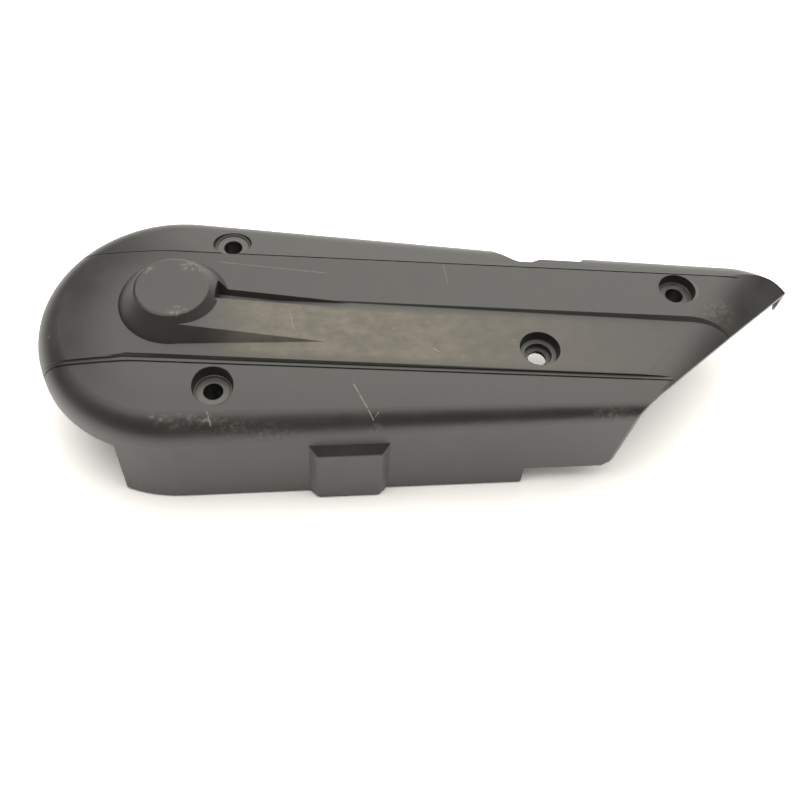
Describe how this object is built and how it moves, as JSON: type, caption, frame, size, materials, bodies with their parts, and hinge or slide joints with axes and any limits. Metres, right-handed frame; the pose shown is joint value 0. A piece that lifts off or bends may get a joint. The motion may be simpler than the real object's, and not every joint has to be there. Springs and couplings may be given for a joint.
{
  "type": "transmission cover",
  "caption": "Long moulded black plastic cover with a rounded end, a raised boss with a tapering spine, stepped lanes, recessed screw holes, a deep skirt on one side and a slanted open end",
  "frame": {"origin": "foot of the screw tube nearest the rounded end on the deep-skirt side, on that hole's axis", "axes": "+X along the cover towards the slanted end, +Y away from the deep skirt, +Z out of the cover along the screw holes"},
  "size_m": [0.3799, 0.1364, 0.074],
  "materials": {
    "black_plastic": "semi-matt moulded black, dusty and lightly scratched"
  },
  "bodies": {
    "root": {"cover": "black_plastic"}
  },
  "joints": []
}
